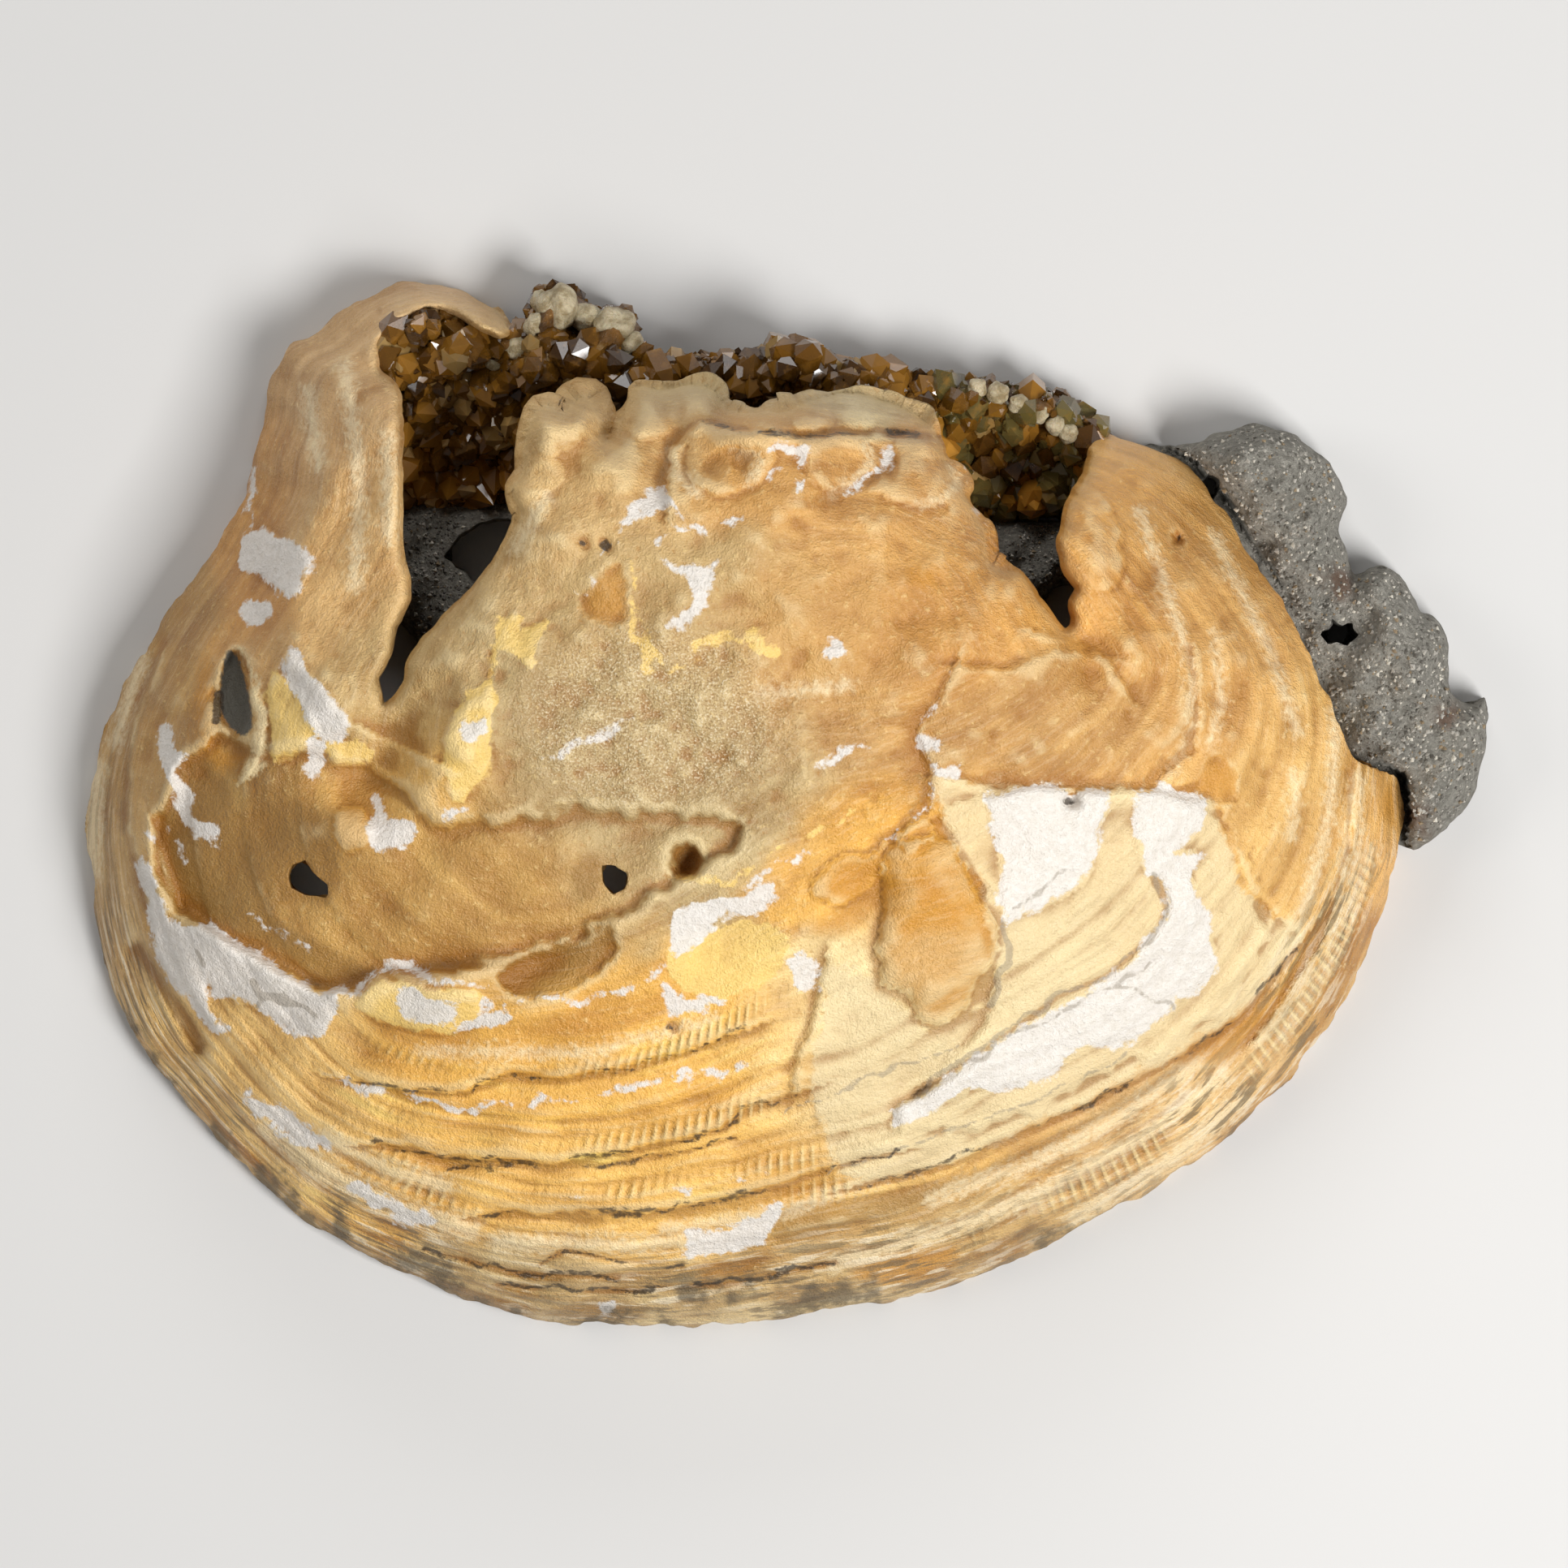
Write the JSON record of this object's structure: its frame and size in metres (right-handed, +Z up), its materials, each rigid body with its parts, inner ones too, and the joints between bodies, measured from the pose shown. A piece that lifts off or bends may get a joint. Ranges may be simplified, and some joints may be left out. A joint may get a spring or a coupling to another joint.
{
  "type": "fossil clam",
  "caption": "Fossil clam valve in honey and cream calcite, its beak hollowed out to brown crystals, with grey matrix rock.",
  "frame": {"origin": "centre of the bounding box on the plane that the rim rests on", "axes": "+X along the shell's length towards the rock lump, +Y towards the hinge side, +Z up out of the domed face"},
  "size_m": [0.1166, 0.087, 0.0313],
  "materials": {
    "honey_calcite_shell": "waxy honey and cream calcite with chalk-white patches",
    "brown_calcite_crystals": "glassy honey-brown crystals",
    "sandy_limestone": "dull grey sandy rock"
  },
  "bodies": {
    "root": {"shell_valve": "honey_calcite_shell", "crystal_crust": "brown_calcite_crystals", "matrix_rock": "sandy_limestone"}
  },
  "joints": []
}
